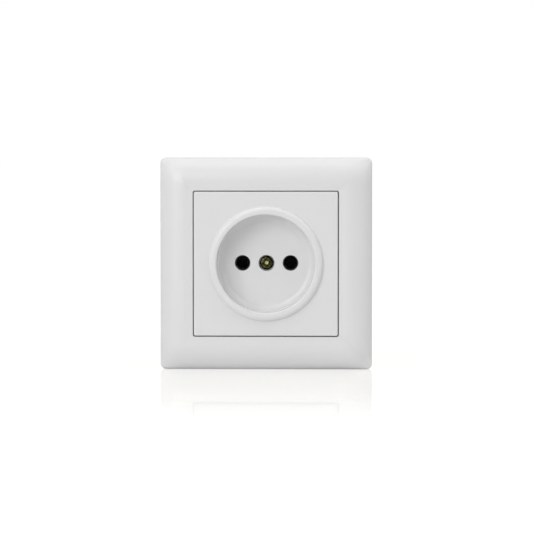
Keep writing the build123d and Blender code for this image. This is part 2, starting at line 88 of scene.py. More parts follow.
# %% Camera
CAMERA_SIDE = math.radians(1.9)
CAMERA_RISE = math.radians(2.2)
CAMERA_AWAY = 1.1
CAMERA_LENS = 187.5
CAMERA_AIM = Vector((0, 0, -1.4 * MM))

toward_camera = Vector((
    math.sin(CAMERA_SIDE) * math.cos(CAMERA_RISE),
    -math.cos(CAMERA_SIDE) * math.cos(CAMERA_RISE),
    math.sin(CAMERA_RISE),
))
camera_data = bpy.data.cameras.new("photo_camera")
camera_data.lens = CAMERA_LENS
camera = bpy.data.objects.new("photo_camera", camera_data)
bpy.context.scene.collection.objects.link(camera)
camera.location = CAMERA_AIM + toward_camera * CAMERA_AWAY
camera.rotation_euler = (-toward_camera).to_track_quat("-Z", "Y").to_euler()
bpy.context.scene.camera = camera
print("camera at", [round(v, 3) for v in camera.location])

# %% [markdown]
# ## Writing finishes as sums
# A finish is a small web of nodes. Placing each node by hand hides the idea, so one class wraps a socket
# and lets it stand in an ordinary sum: each operator adds one Math node. Every other node comes from the
# same method, which takes the node's type, then its settings, then the values or links of its sockets.

# %% A socket that can stand in a sum
class Wire:
    """A node socket that can stand in a sum."""

    def __init__(self, socket):
        self.socket = socket

    def node(self, kind, settings=(), sockets=(), output=0):
        """Adds a node, sets it, fills its sockets with values or wires, and gives a wire from it."""
        tree = self.socket.id_data
        new = tree.nodes.new(kind)
        for key, value in dict(settings).items():
            if key == "stops":
                while len(new.color_ramp.elements) < len(value):
                    new.color_ramp.elements.new(1.0)
                for stop, (place, colour) in zip(new.color_ramp.elements, value):
                    stop.position = place
                    stop.color = (*colour, 1)
            else:
                setattr(new, key, value)
        for key, value in dict(sockets).items():
            if isinstance(value, Wire):
                tree.links.new(value.socket, new.inputs[key])
            else:
                new.inputs[key].default_value = value
        return Wire(new.outputs[output])

    def sum_node(self, operation, first, second):
        """Adds one Math node."""
        return self.node("ShaderNodeMath", {"operation": operation}, {0: first, 1: second})

    def __add__(self, other):
        return self.sum_node("ADD", self, other)

    def __radd__(self, other):
        return self.sum_node("ADD", other, self)

    def __sub__(self, other):
        return self.sum_node("SUBTRACT", self, other)

    def __rsub__(self, other):
        return self.sum_node("SUBTRACT", other, self)

    def __mul__(self, other):
        return self.sum_node("MULTIPLY", self, other)

    def __rmul__(self, other):
        return self.sum_node("MULTIPLY", other, self)


print("sockets can be added, subtracted and multiplied")

# %% Patterns and colours
def noise(place, per_mm, detail, stretch=None):
    """Noise from 0 to 1 with this many waves in a millimetre, drawn out by `stretch` if given."""
    if stretch:
        place = place.node("ShaderNodeMapping", {}, {"Vector": place, "Scale": stretch})
    return place.node(
        "ShaderNodeTexNoise", {}, {"Vector": place, "Scale": per_mm / MM, "Detail": detail}
    )


def ramp_up(value, low, high):
    """0 below `low`, 1 above `high`, and a smooth rise between."""
    return value.node(
        "ShaderNodeMapRange",
        {"interpolation_type": "SMOOTHSTEP"},
        {"Value": value, "From Min": low, "From Max": high},
    )


def blend(factor, first, second):
    """One colour turning into another as the factor goes from 0 to 1."""
    return factor.node("ShaderNodeMix", {"data_type": "RGBA"}, {0: factor, 6: first, 7: second}, output=2)


def bump(height, depth_mm):
    """Surface relief of this depth, for a shader's Normal."""
    return height.node(
        "ShaderNodeBump", {}, {"Height": height, "Distance": depth_mm * MM, "Strength": 1.0}
    )


print("noise, ramp, blend and relief ready")

# %% A new finish
def new_finish(name, **fixed):
    """A material whose shader has these fixed values. Gives the material, the shader and a place wire."""
    material = bpy.data.materials.new(name)
    material.use_nodes = True
    nodes = material.node_tree.nodes
    shader = nodes["Principled BSDF"]
    for socket, value in fixed.items():
        shader.inputs[socket.replace("_", " ")].default_value = value
    place = Wire(nodes.new("ShaderNodeTexCoord").outputs["Object"])
    return material, shader, place


def feed(shader, **wires):
    """Links wires to a shader's sockets by name."""
    for socket, wire in wires.items():
        shader.id_data.links.new(wire.socket, shader.inputs[socket.replace("_", " ")])


print("finishes read a place on the piece itself")

# %% [markdown]
# ## White gloss moulding
# The frame and the cover are moulded in white urea or ABS and polished in the tool. Such a surface isn't a
# perfect mirror: it has a faint long-wave flow from the mould, a slight orange peel and gloss that differs
# a little from place to place. The colour stays almost even, so most of the detail goes to gloss and
# relief.

# %% White gloss moulding
WHITE, WHITER = (0.82, 0.82, 0.815, 1), (0.845, 0.845, 0.845, 1)
WHITE_ROUGH, WHITE_ROUGH_VARIES = 0.2, 0.07
WHITE_RELIEF, FLOW_PART, PEEL_PART = 0.012, 3.0, 0.06

white_plastic, shader, place = new_finish("white_gloss_moulding", IOR=1.5)
flow = noise(place, per_mm=0.045, detail=3.0)
peel = noise(place, per_mm=0.55, detail=1.0)
patch = noise(place, per_mm=0.12, detail=4.0)
feed(
    shader,
    Base_Color=blend(flow, WHITE, WHITER),
    Roughness=WHITE_ROUGH + WHITE_ROUGH_VARIES * patch,
    Normal=bump(flow * FLOW_PART + peel * PEEL_PART, WHITE_RELIEF),
)
print("white moulding:", len(white_plastic.node_tree.nodes), "nodes")

# %% [markdown]
# ## Black moulding
# The base behind the plate is a filled black plastic. It comes out of a spark-eroded tool, so it is matt
# with a fine even grain, and a little greyer where the grain stands up.

# %% Black moulding
BLACK, GREYER = (0.032, 0.032, 0.033, 1), (0.062, 0.062, 0.064, 1)
BLACK_ROUGH, BLACK_ROUGH_VARIES = 0.42, 0.2
GRAIN_DEPTH, GRAIN_SHARE = 0.03, 0.6

black_plastic, shader, place = new_finish("black_grained_moulding", IOR=1.5)
grain = noise(place, per_mm=4.0, detail=3.0)
cloud = noise(place, per_mm=0.1, detail=3.0)
feed(
    shader,
    Base_Color=blend(grain * GRAIN_SHARE + cloud * (1 - GRAIN_SHARE), BLACK, GREYER),
    Roughness=BLACK_ROUGH + BLACK_ROUGH_VARIES * cloud,
    Normal=bump(grain, GRAIN_DEPTH),
)
print("black moulding:", len(black_plastic.node_tree.nodes), "nodes")

# %% [markdown]
# ## Plated and rolled metals
# The yoke, the claws and the small plates are cold-rolled steel with bright zinc. Rolling leaves fine
# lines along the strip, and the zinc adds soft cloudy patches. The springs are drawn steel, and contacts
# and rivets are brass. One function makes all three: two colours in clouds, rolling lines in the relief
# and a patchy gloss.

# %% Metals
CLOUD_SHARE = 0.6
DULL_FROM, DULL_FULL = 0.3, 0.7
CLOUDS_ROUGHEN, LINES_ROUGHEN = 0.16, 0.08
LINE_DEPTH, CLOUD_RELIEF = 0.01, 0.5
ALONG_X = (0.12, 4.0, 4.0)
ALONG_Z = (4.0, 4.0, 0.12)


def metal_finish(name, bright, dull, rough, lines_along):
    """A rolled and plated metal: clouds of two colours, fine lines along one axis, patchy gloss."""
    material, shader, place = new_finish(name, Metallic=1.0)
    cloud = noise(place, per_mm=0.35, detail=4.0)
    patch = noise(place, per_mm=0.09, detail=2.0)
    lines = noise(place, per_mm=1.0, detail=3.0, stretch=lines_along)
    clouds = cloud * CLOUD_SHARE + patch * (1 - CLOUD_SHARE)
    feed(
        shader,
        Base_Color=blend(ramp_up(clouds, DULL_FROM, DULL_FULL), bright, dull),
        Roughness=rough + CLOUDS_ROUGHEN * cloud + LINES_ROUGHEN * lines,
        Normal=bump(lines + cloud * CLOUD_RELIEF, LINE_DEPTH),
    )
    return material


zinc_steel = metal_finish("bright_zinc", (0.66, 0.67, 0.69, 1), (0.52, 0.53, 0.56, 1), 0.24, ALONG_X)
spring_steel = metal_finish("drawn_spring_steel", (0.46, 0.47, 0.49, 1), (0.34, 0.34, 0.36, 1), 0.2, ALONG_Z)
brass = metal_finish("rolled_brass", (0.80, 0.62, 0.29, 1), (0.62, 0.44, 0.18, 1), 0.18, ALONG_Z)
print("zinc, spring steel and brass ready")

# %% [markdown]
# ## Yellow zinc
# The screws have the same zinc with a yellow passivation. Its film is so thin that it shifts between
# olive, straw and a little pink from place to place. A colour ramp over a soft noise does the same, and a
# finer noise adds the scuffs of handling.

# %% Yellow zinc
FILM_ROUGH, FILM_ROUGH_VARIES = 0.16, 0.2
SCUFF_DEPTH = 0.02


def passivated_zinc(name, per_mm, olive, straw, pale, pink):
    """Zinc under a thin yellow film: four tints in patches and fine scuffs. Gives what painted shade and
    highlight are added to.
    """
    material, shader, place = new_finish(name, Metallic=1.0)
    film = noise(place, per_mm, detail=2.5)
    scuff = noise(place, per_mm=2.2, detail=4.0)
    stops = [(0.30, olive), (0.45, straw), (0.58, pale), (0.70, pink)]
    tint = film.node("ShaderNodeValToRGB", {"stops": stops}, {"Fac": film})
    feed(
        shader,
        Base_Color=tint,
        Roughness=FILM_ROUGH + FILM_ROUGH_VARIES * scuff,
        Normal=bump(scuff, SCUFF_DEPTH),
    )
    return material, shader, place, tint, scuff


yellow_zinc = passivated_zinc(
    "yellow_zinc",
    per_mm=0.5,
    olive=(0.26, 0.25, 0.10),
    straw=(0.46, 0.40, 0.17),
    pale=(0.55, 0.49, 0.24),
    pink=(0.44, 0.29, 0.18),
)[0]
print("yellow zinc:", len(yellow_zinc.node_tree.nodes), "nodes")

# %% [markdown]
# ## Painted light on the middle screw head
# The middle screw sits in a counterbore of the cover. Its film tints are darker than on the other screws,
# partly a dark film and partly painted shade. Shade is also painted round the rim of the head and in the
# arms of the recess, and a highlight is painted in the very middle. All of that can be told from the
# place alone: how far a point is from the axis, and how far it lies behind the front of the head. The
# box of the solid says where that front is.

# %% Size of the middle screw
def box_of(solid):
    """Low and high corner of a solid in mm, to a hundredth: a circle's facets fall a hair short of it."""
    sides = [[corner[axis] / MM for corner in solids[solid].bound_box] for axis in range(3)]
    return [round(min(side), 2) for side in sides], [round(max(side), 2) for side in sides]


screw_low, screw_high = box_of("cover_screw")
HEAD_R, HEAD_FRONT, SCREW_TIP = screw_high[0], screw_low[1], screw_high[1]
print("middle screw: head radius", HEAD_R, "front at", HEAD_FRONT, "tip at", SCREW_TIP, "mm")

# %% Middle screw head with painted shade and highlight
# Painted shade: the head goes dark towards its rim and in the arms of the recess.
PAINTED_SHADE = (0.006, 0.006, 0.004, 1)
# Colour of the painted highlight in the middle of the recess.
PAINTED_GLINT = (0.80, 0.76, 0.42, 1)
RAGGED = 0.5
RIM_SHADE_FROM = 2.0
RECESS_FROM, RECESS_FULL, RECESS_SHADE = 0.05, 0.2, 0.8
GLINT_TO, GLINT_END = 0.6, 1.3

# The four tints are darker than on the other screws: partly a dark film, partly painted shade of the
# counterbore.
screw_zinc_with_painted_light, shader, place, tint, scuff = passivated_zinc(
    "yellow_zinc_with_painted_light",
    per_mm=0.9,
    olive=(0.02, 0.026, 0.008),
    straw=(0.07, 0.075, 0.02),
    pale=(0.14, 0.13, 0.045),
    pink=(0.20, 0.12, 0.07),
)
behind = place.node("ShaderNodeSeparateXYZ", {}, {0: place}, output=1) - HEAD_FRONT * MM
sideways = place.node("ShaderNodeVectorMath", {"operation": "MULTIPLY"}, {0: place, 1: (1, 0, 1)})
from_axis = place.node("ShaderNodeVectorMath", {"operation": "LENGTH"}, {0: sideways}, output=1)
ragged = from_axis + RAGGED * MM * scuff
recess = ramp_up(behind, RECESS_FROM * MM, RECESS_FULL * MM)
# Painted shade, darker towards the rim of the head and in the arms of the recess.
shade_mask = ramp_up(ragged, RIM_SHADE_FROM * MM, HEAD_R * MM) + RECESS_SHADE * recess
# Painted highlight: a bright glint in the middle of the recess.
glint_mask = recess * (1 - ramp_up(ragged, GLINT_TO * MM, GLINT_END * MM))
feed(shader, Base_Color=blend(glint_mask, blend(shade_mask, tint, PAINTED_SHADE), PAINTED_GLINT))
print("used screw head:", len(screw_zinc_with_painted_light.node_tree.nodes), "nodes")

# %% [markdown]
# ## In the place of its solid
# Every solid has a slot, which says what it is made of, and one table gives each slot its finish. A
# finished piece could be put in its place by hand, object by object. It is safer to let one function do
# it: the piece rides on the body of its solid, stands in for it and takes the finish of its slot or a
# given one, so what moves the solid moves the piece.

# %% Finish of each slot
finish_of_slot = {
    "white_plastic": white_plastic,
    "black_plastic": black_plastic,
    "zinc_steel": zinc_steel,
    "spring_steel": spring_steel,
    "yellow_zinc": yellow_zinc,
    "brass": brass,
}
slot_of_solid = {part["node"]: part["material_slot"] for part in frame["record"]["subparts"]}
print(len(finish_of_slot), "finishes for", len(slot_of_solid), "solids")

# %% Fitting a piece
def fit(piece, solid, finish=None):
    """Puts a finished piece in the place of its solid: same body, and the finish of the solid's slot or the
    given one on the mesh.
    """
    slot = slot_of_solid[solid]
    piece.data.materials.clear()
    piece.data.materials.append(finish or finish_of_slot[slot])
    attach(piece, solids[solid]["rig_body"])
    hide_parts(solid)
    print(piece.name, len(piece.data.polygons), "faces")


print("each piece says its name and faces when it is fitted")

# %% [markdown]
# ## Soft edges
# No real edge is perfectly sharp: a mould leaves a small radius, and a stamping die rolls the edge over.
# The solids are exact, so each one is copied, the loose triangles of the copy are merged, and flat
# neighbours become one face. A bevel then rounds every edge that turns by more than 35 degrees, and
# weighted normals keep the wide flat faces flat right up to the rounding.

# %% Copy of a solid
SAME_POINT_MM = 0.002
FLAT = math.radians(0.2)


def take(piece):
    """Makes a piece the only selected one, so that the next operators work on it alone."""
    bpy.ops.object.select_all(action="DESELECT")
    piece.select_set(True)
    bpy.context.view_layer.objects.active = piece


def merged_copy(solid):
    """A copy of a solid with its loose triangles merged into whole faces."""
    piece = bpy.data.objects.new(solid + "_finished", solids[solid].data.copy())
    bpy.context.scene.collection.objects.link(piece)
    take(piece)
    bpy.ops.object.mode_set(mode="EDIT")
    bpy.ops.mesh.select_all(action="SELECT")
    bpy.ops.mesh.remove_doubles(threshold=SAME_POINT_MM * MM)
    bpy.ops.mesh.dissolve_limited(angle_limit=FLAT)
    bpy.ops.object.mode_set(mode="OBJECT")
    return piece


print("copies merge points closer than", SAME_POINT_MM, "mm")

# %% Rounded edges
SHARP = math.radians(35.0)
SLIVER_MM = 0.0005


def drop_slivers(piece):
    """Dissolves the faces without area that a bevel or a cut leaves."""
    take(piece)
    bpy.ops.object.mode_set(mode="EDIT")
    bpy.ops.mesh.select_all(action="SELECT")
    bpy.ops.mesh.dissolve_degenerate(threshold=SLIVER_MM * MM)
    bpy.ops.object.mode_set(mode="OBJECT")


def even_shading(piece):
    """Smooth shading that leaves wide flat faces flat."""
    take(piece)
    bpy.ops.object.shade_smooth_by_angle(angle=SHARP)
    piece.modifiers.new("even_normals", "WEIGHTED_NORMAL").keep_sharp = True
    bpy.ops.object.modifier_apply(modifier="even_normals")


def round_edges(piece, edge_mm):
    """Rounds the sharp edges of a piece by this radius."""
    take(piece)
    rounding = piece.modifiers.new("round_edges", "BEVEL")
    rounding.width = edge_mm * MM
    rounding.segments = 2
    rounding.limit_method = "ANGLE"
    rounding.angle_limit = SHARP
    bpy.ops.object.modifier_apply(modifier="round_edges")
    drop_slivers(piece)
    even_shading(piece)


print("edges over", round(math.degrees(SHARP)), "degrees get rounded")

# %% [markdown]
# ## The pillow face of the frame
# The frame is the pillow-shaped square that hides the edge of the hole in the wall. On the real one the
# bright band along the top runs straight to both ends, and the corners flatten out softly. The solid has
# that shape to within a third of a millimetre, but its corners turn the light another way, and gloss shows
# it. So the copy keeps its walls and its hollow back, and its front is taken off and drawn again ring by
# ring: the outer edge is extruded inwards, and each ring is set to the height of a curve across times the
# same curve upwards.

# %% Height of the pillow face
HALF = cad_high.x / MM
APERTURE = 28.75
WALL, CREST = 4.7, 9.3
MARGIN, LEAN = 3.3, 0.22
RUN = HALF - APERTURE - MARGIN
ARC = (RUN ** 2 + (CREST - WALL) ** 2) / (2 * (CREST - WALL))


def swell(across):
    """Share of the rise that is left this far from the middle: 1 on the flat part, 0 at the edge."""
    past_flat = min(max(abs(across) - (HALF - RUN), 0), RUN)
    return 1 - (ARC - math.sqrt(ARC ** 2 - past_flat ** 2)) / (CREST - WALL)


def out_from_middle(place):
    """How far a place is from the middle of the square, sideways or upwards, in mm."""
    return max(abs(place.x), abs(place.z)) / MM


def face_height(place):
    """How far out from the wall the face is here, in mm. Along the aperture it leans in a little."""
    lean = LEAN * max(0, 1 - (out_from_middle(place) - APERTURE) / MARGIN)
    return WALL + (CREST - WALL) * swell(place.x / MM) * swell(place.z / MM) - lean


print("face arc", round(ARC, 2), "mm")

# %% Take the front off
NEAR_FACE = 0.6
SIDE_ON = -0.01

frame_piece = merged_copy("outer_frame")
bpy.ops.object.mode_set(mode="EDIT")
bpy.ops.mesh.select_mode(type="FACE")
bpy.ops.mesh.select_all(action="DESELECT")
mesh = bmesh.from_edit_mesh(frame_piece.data)
for face in mesh.faces:
    middle = face.calc_center_median()
    near_face = abs(-middle.y / MM - face_height(middle)) < NEAR_FACE
    faces_room = face.normal.y < SIDE_ON
    face.select_set(faces_room and near_face and out_from_middle(middle) > APERTURE)
print(sum(face.select for face in mesh.faces), "front faces taken off")
bpy.ops.mesh.delete(type="FACE")

# %% Borders of the opening
CUTS = 120
STRAIGHT_EDGE = 5.0
BETWEEN = (HALF + APERTURE) / 2


def select_border(low, high, longer_than=0.0):
    """Selects open edges by their distance from the middle and their length, in mm."""
    bpy.ops.mesh.select_mode(type="EDGE")
    bpy.ops.mesh.select_all(action="DESELECT")
    mesh = bmesh.from_edit_mesh(frame_piece.data)
    for edge in mesh.edges:
        out = out_from_middle((edge.verts[0].co + edge.verts[1].co) / 2)
        edge.select_set(edge.is_boundary and low < out < high and edge.calc_length() > longer_than * MM)
    return [edge for edge in mesh.edges if edge.select]


select_border(0, 2 * HALF, longer_than=STRAIGHT_EDGE)
bpy.ops.mesh.subdivide(number_cuts=CUTS)
print(len(select_border(BETWEEN, 2 * HALF)), "edges round the rim")

# %% Draw the new front
SHOULDER = 0.5
SHOULDER_RINGS = 5
FACE_RINGS = 26
LEFT_TO_BRIDGE = 0.3
LAST_INSET = HALF - APERTURE - LEFT_TO_BRIDGE


def shoulder_drop(inset):
    """How far the rounded shoulder falls below the face, this far in from the edge."""
    return SHOULDER - math.sqrt(SHOULDER ** 2 - max(SHOULDER - inset, 0) ** 2)


turns = [math.radians(90 * step / SHOULDER_RINGS) for step in range(SHOULDER_RINGS + 1)]
insets = [SHOULDER * (1 - math.cos(turn)) for turn in turns]
insets += [SHOULDER + (LAST_INSET - SHOULDER) * (step + 1) / FACE_RINGS for step in range(FACE_RINGS)]
for last, inset in zip([0] + insets, insets):
    if inset > 0:
        shrink = (HALF - inset) / (HALF - last)
        bpy.ops.mesh.extrude_region()
        bpy.ops.transform.resize(value=(shrink, 1, shrink), center_override=(0, 0, 0))
    for point in bmesh.from_edit_mesh(frame_piece.data).verts:
        if point.select:
            point.co.y = -(face_height(point.co) - shoulder_drop(inset)) * MM
print(len(insets), "rings")

# %% Close the frame
WHITE_EDGE = 0.15
DOUBLE_MM = 0.001


def close_up():
    """Merges doubled points of the piece in edit mode, turns its faces outward and leaves edit mode."""
    bpy.ops.mesh.select_all(action="SELECT")
    bpy.ops.mesh.remove_doubles(threshold=DOUBLE_MM * MM)
    bpy.ops.mesh.normals_make_consistent(inside=False)
    bpy.ops.object.mode_set(mode="OBJECT")


select_border(0, BETWEEN)
bpy.ops.mesh.bridge_edge_loops()
bpy.ops.mesh.select_mode(type="VERT")
close_up()
round_edges(frame_piece, WHITE_EDGE)
fit(frame_piece, "outer_frame")

# %% [markdown]
# ## The white cover
# The cover carries the ring, the well and the pin holes. It could be turned and cut again by hand, but its
# solid already has the exact curves of the real one. So a copy keeps those and gets the small mould
# radius, which draws the thin bright lines along the gap. In the photograph the three holes are dark right
# up to their rims, while here light runs a little way down their white walls, so the walls of the holes
# are moved out a little.

# %% White cover
HOLE_X = 9.5
PIN_HOLE_R, HEAD_HOLE_R = 2.9, 3.0
ON_WALL = 0.02
WIDER_BY = 0.2

cover_piece = merged_copy("centre_cover")
bpy.ops.object.mode_set(mode="EDIT")
bpy.ops.mesh.select_mode(type="VERT")
for hole_x, hole_r in ((-HOLE_X, PIN_HOLE_R), (0, HEAD_HOLE_R), (HOLE_X, PIN_HOLE_R)):
    bpy.ops.mesh.select_all(action="DESELECT")
    mesh = bmesh.from_edit_mesh(cover_piece.data)
    for point in mesh.verts:
        off_axis = math.hypot(point.co.x / MM - hole_x, point.co.z / MM)
        point.select_set(abs(off_axis - hole_r) < ON_WALL)
    print(sum(point.select for point in mesh.verts), "points on the wall of a hole")
    wider = 1 + WIDER_BY / hole_r
    bpy.ops.transform.resize(value=(wider, 1, wider), center_override=(hole_x * MM, 0, 0))
bpy.ops.object.mode_set(mode="OBJECT")
round_edges(cover_piece, WHITE_EDGE)
fit(cover_piece, "centre_cover")

# %% [markdown]
# ## Black mouldings
# The base behind the wall holds the contacts and the terminals. A round guard plate lies over it behind
# the well, which is why the pin holes look black. Filled plastic comes out of its mould with blunter edges
# than polished white, so these get a larger radius.

# %% Black mouldings
BLACK_EDGE = 0.2


def soften(solid, edge_mm):
    """A merged copy of a solid with its sharp edges rounded, in the place of the solid."""
    piece = merged_copy(solid)
    round_edges(piece, edge_mm)
    fit(piece, solid)


for solid in ("mechanism_base", "contact_guard"):
    soften(solid, BLACK_EDGE)

# %% [markdown]
# ## Steel stampings
# The yoke, the claws, the clamp plates and the nut are punched from sheet, and the punch rolls every edge
# over a little. A cut and folded plane with a Solidify modifier would give the same plates. The solids
# already have their folds, teeth and slots, so the rolled edge is all that is missing.

# %% Steel stampings
STAMPED_EDGE = 0.15

for solid in ("yoke_plate", "claw_left", "claw_right", "clamp_plate_left", "clamp_plate_right", "cover_nut"):
    soften(solid, STAMPED_EDGE)

# %% [markdown]
# ## Contact strips and their springs
# Each contact is a brass strip bent into a fork for the pin, with a steel spring round it that keeps the
# grip. The strip is under a millimetre thick, so its edges are only just broken, or the bevel would eat
# the sheet.

# %% Contact strips and their springs
STRIP_EDGE = 0.08

for solid in ("contact_left", "contact_right", "grip_spring_left", "grip_spring_right"):
    soften(solid, STRIP_EDGE)

# %% [markdown]
# ## Turned pieces
# Screws and rivets are round about one axis. So each starts as a line, half of its outline, that is drawn
# point by point and then turned about the Y axis. The points are given as a radius and a place along the
# axis. One model serves all pieces of a kind: each copy has a mesh of its own, and the box of its solid
# says where the axis stands.

# %% Drawing and turning a line
def draw_line(name, points):
    """A new piece in edit mode that is one open line through (radius, along) points in mm."""
    bpy.ops.object.select_all(action="DESELECT")
    bpy.ops.mesh.primitive_plane_add(size=MM)
    piece = bpy.context.object
    piece.name = name
    bpy.ops.object.mode_set(mode="EDIT")
    bpy.ops.mesh.select_all(action="SELECT")
    bpy.ops.mesh.merge(type="CENTER")
    spots = [Vector((radius, along, 0)) * MM for radius, along in points]
    bpy.ops.transform.translate(value=spots[0])
    for here, there in zip(spots, spots[1:]):
        bpy.ops.mesh.extrude_vertices_move(TRANSFORM_OT_translate={"value": there - here})
    return piece


def turn(name, points, steps=48):
    """A solid of revolution about the Y axis."""
    piece = draw_line(name, points)
    bpy.ops.mesh.select_all(action="SELECT")
    bpy.ops.mesh.spin(steps=steps, angle=2 * math.pi, center=(0, 0, 0), axis=(0, 1, 0))
    close_up()
    return piece


print("lines can be drawn and turned")

# %% Copies of a turned piece
def put_copies(model, names, finish=None):
    """A copy of a turned model for each of these solids, moved to the solid's own axis."""
    drop_slivers(model)
    even_shading(model)
    for solid in names:
        low, high = box_of(solid)
        x, z = (low[0] + high[0]) / 2, (low[2] + high[2]) / 2
        piece = bpy.data.objects.new(solid + "_finished", model.data.copy())
        bpy.context.scene.collection.objects.link(piece)
        take(piece)
        bpy.ops.object.mode_set(mode="EDIT")
        bpy.ops.mesh.select_all(action="SELECT")
        bpy.ops.transform.translate(value=(x * MM, 0, z * MM))
        bpy.ops.object.mode_set(mode="OBJECT")
        fit(piece, solid, finish)
    bpy.data.objects.remove(model)


print("copies stand on the axes of their solids")

# %% [markdown]
# ## Rivets
# Four solid rivets hold the black base to the yoke. A rivet is pressed from both ends, so both heads are
# shallow domes, and the shank fills its hole.

# %% Rivets
RIVETS = [f"base_rivet_{height}_{side}" for height in ("upper", "lower") for side in ("left", "right")]
RIVET_R = 1.5
YOKE_FRONT, FLANGE_BACK = -1.2, 6.4
DOME_STEPS = 6


def dome(head_r, base, top):
    """Points of a shallow dome, from the rim at `base` to the middle at `top`."""
    angles = [math.radians(90 * step / DOME_STEPS) for step in range(DOME_STEPS + 1)]
    return [(head_r * math.cos(a), base + (top - base) * math.sin(a)) for a in angles]


rivet_low, rivet_high = box_of(RIVETS[0])
rivet_head_r = (rivet_high[2] - rivet_low[2]) / 2
front_dome = dome(rivet_head_r, YOKE_FRONT, rivet_low[1])
back_dome = dome(rivet_head_r, FLANGE_BACK, rivet_high[1])
shank = [(RIVET_R, YOKE_FRONT), (RIVET_R, FLANGE_BACK)]
put_copies(turn("rivet", front_dome[::-1] + shank + back_dome), RIVETS)

# %% [markdown]
# ## Threads
# A thread is one tooth carried round the axis while it climbs, which is what the Screw modifier does. One
# tooth is drawn, the modifier winds it past both ends of the screw, and doubled points between the turns
# are merged. The ragged ends are filled, and then cut off by keeping only what lies inside a plain turned
# blank. The blank is drawn in at the far end, as a lead for the nut.

# %% Joining and cutting
def combine(piece, other, operation):
    """Joins or cuts a piece with another one, which is used up."""
    take(piece)
    tool = piece.modifiers.new("combine", "BOOLEAN")
    tool.operation = operation
    tool.object = other
    tool.solver = "EXACT"
    bpy.ops.object.modifier_apply(modifier="combine")
    bpy.data.objects.remove(other)


print("pieces can be joined and cut")

# %% Threads
TOOTH_HEIGHT, TOOTH_TOP = 0.6, (0.42, 0.58)
TURNS_PAST_END = 2
THREAD_STEPS = 24
LEAD = 0.5
BLANK_CLEAR = 0.05


def thread(name, radius, pitch, head_end, far_end):
    """A threaded rod about the Y axis between two places in mm."""
    core = radius - TOOTH_HEIGHT * pitch
    toward = 1 if far_end > head_end else -1
    climb_mm = toward * pitch
    first = head_end - TURNS_PAST_END * climb_mm
    tooth_top = [(radius, first + share * climb_mm) for share in TOOTH_TOP]
    rod = draw_line(name, [(core, first)] + tooth_top + [(core, first + climb_mm)])
    bpy.ops.object.mode_set(mode="OBJECT")
    wind = rod.modifiers.new("wind", "SCREW")
    wind.axis = "Y"
    wind.angle = toward * 2 * math.pi
    wind.screw_offset = climb_mm * MM
    wind.iterations = int(abs(far_end - head_end) / pitch) + 2 * TURNS_PAST_END
    wind.steps = wind.render_steps = THREAD_STEPS
    bpy.ops.object.modifier_apply(modifier="wind")
    bpy.ops.object.mode_set(mode="EDIT")
    bpy.ops.mesh.select_all(action="SELECT")
    bpy.ops.mesh.remove_doubles(threshold=DOUBLE_MM * MM)
    bpy.ops.mesh.fill_holes(sides=0)
    close_up()
    blank_r = radius + BLANK_CLEAR
    blank = turn(name + "_blank", [
        (0, head_end),
        (blank_r, head_end),
        (blank_r, far_end - toward * LEAD),
        (blank_r - LEAD, far_end),
        (0, far_end),
    ])
    combine(rod, blank, "INTERSECT")
    return rod


print("threads have a lead of", LEAD, "mm")

# %% [markdown]
# ## Claw screws and terminal screws
# Both kinds are slotted machine screws with rounded heads. The claw screws face the room and draw the
# claws up their ramps. The terminal screws face the rear, and each presses a square plate on its wire.
# Their lengths and heads are taken from their solids, so one function makes both.

# %% Heads and slots
HEAD_STEPS = 5


def rounded_end(radius, along, toward, corner):
    """Points of a flat end with a rounded rim, from the rim to the middle. `toward` is 1 or -1 along Y."""
    points = []
    for step in range(HEAD_STEPS + 1):
        angle = math.radians(90 * step / HEAD_STEPS)
        points.append((
            radius - corner + corner * math.cos(angle),
            along - toward * corner + toward * corner * math.sin(angle),
        ))
    return points + [(0, along)]


def slot_cutter(long, wide, deep, along):
    """A bar along X that cuts a driver slot of this depth on both sides of a place on the Y axis."""
    bpy.ops.object.select_all(action="DESELECT")
    bpy.ops.mesh.primitive_cube_add(size=1, location=(0, along * MM, 0))
    bar = bpy.context.object
    bar.scale = Vector((long, 2 * deep, wide)) * MM
    bpy.ops.object.transform_apply(location=True, rotation=True, scale=True)
    return bar


print("heads get a rim of", HEAD_STEPS, "steps")

# %% Slotted screws
THREAD_IN_HEAD = 0.2


def slotted_screw(solid, toward, seat, corner, slot, thread_r, pitch):
    """A slotted screw as long and wide as its solid. Its head lies on `seat` and looks `toward` 1 or -1."""
    low, high = box_of(solid)
    head_r = (high[2] - low[2]) / 2
    top, tip = (high[1], low[1]) if toward > 0 else (low[1], high[1])
    screw = turn("screw", [(0, seat), (head_r, seat)] + rounded_end(head_r, top, toward, corner))
    combine(screw, slot_cutter(*slot, top), "DIFFERENCE")
    combine(screw, thread("thread", thread_r, pitch, seat + toward * THREAD_IN_HEAD, tip), "UNION")
    return screw


claw_screw = slotted_screw(
    "claw_screw_left", -1, seat=YOKE_FRONT, corner=0.6, slot=(6.0, 0.8, 1.0), thread_r=1.5, pitch=0.5
)
put_copies(claw_screw, ["claw_screw_left", "claw_screw_right"])
terminal_screw = slotted_screw(
    "terminal_screw_left", 1, seat=24.3, corner=0.65, slot=(5.8, 0.75, 1.1), thread_r=1.75, pitch=0.6
)
put_copies(terminal_screw, ["terminal_screw_left", "terminal_screw_right"])

# %% [markdown]
# ## The middle screw
# The screw in the well holds the cover. Its pan head has a cross recess, made by two bars that narrow
# towards the bottom and a cone between them. It stands turned by 18 degrees, as its driver left it.

# %% Cross recess
CROSS_TURN = math.radians(18.0)
CROSS_LONG, CROSS_WIDE, CROSS_DEEP = 3.3, 0.8, 1.3
BOTTOM_LONG, BOTTOM_WIDE = 0.35, 0.6
CROSS_CONE = [(0, 0.6), (1.4, 0.6), (0.35, 2.4), (0, 2.6)]
FACING_BACK = 0.9


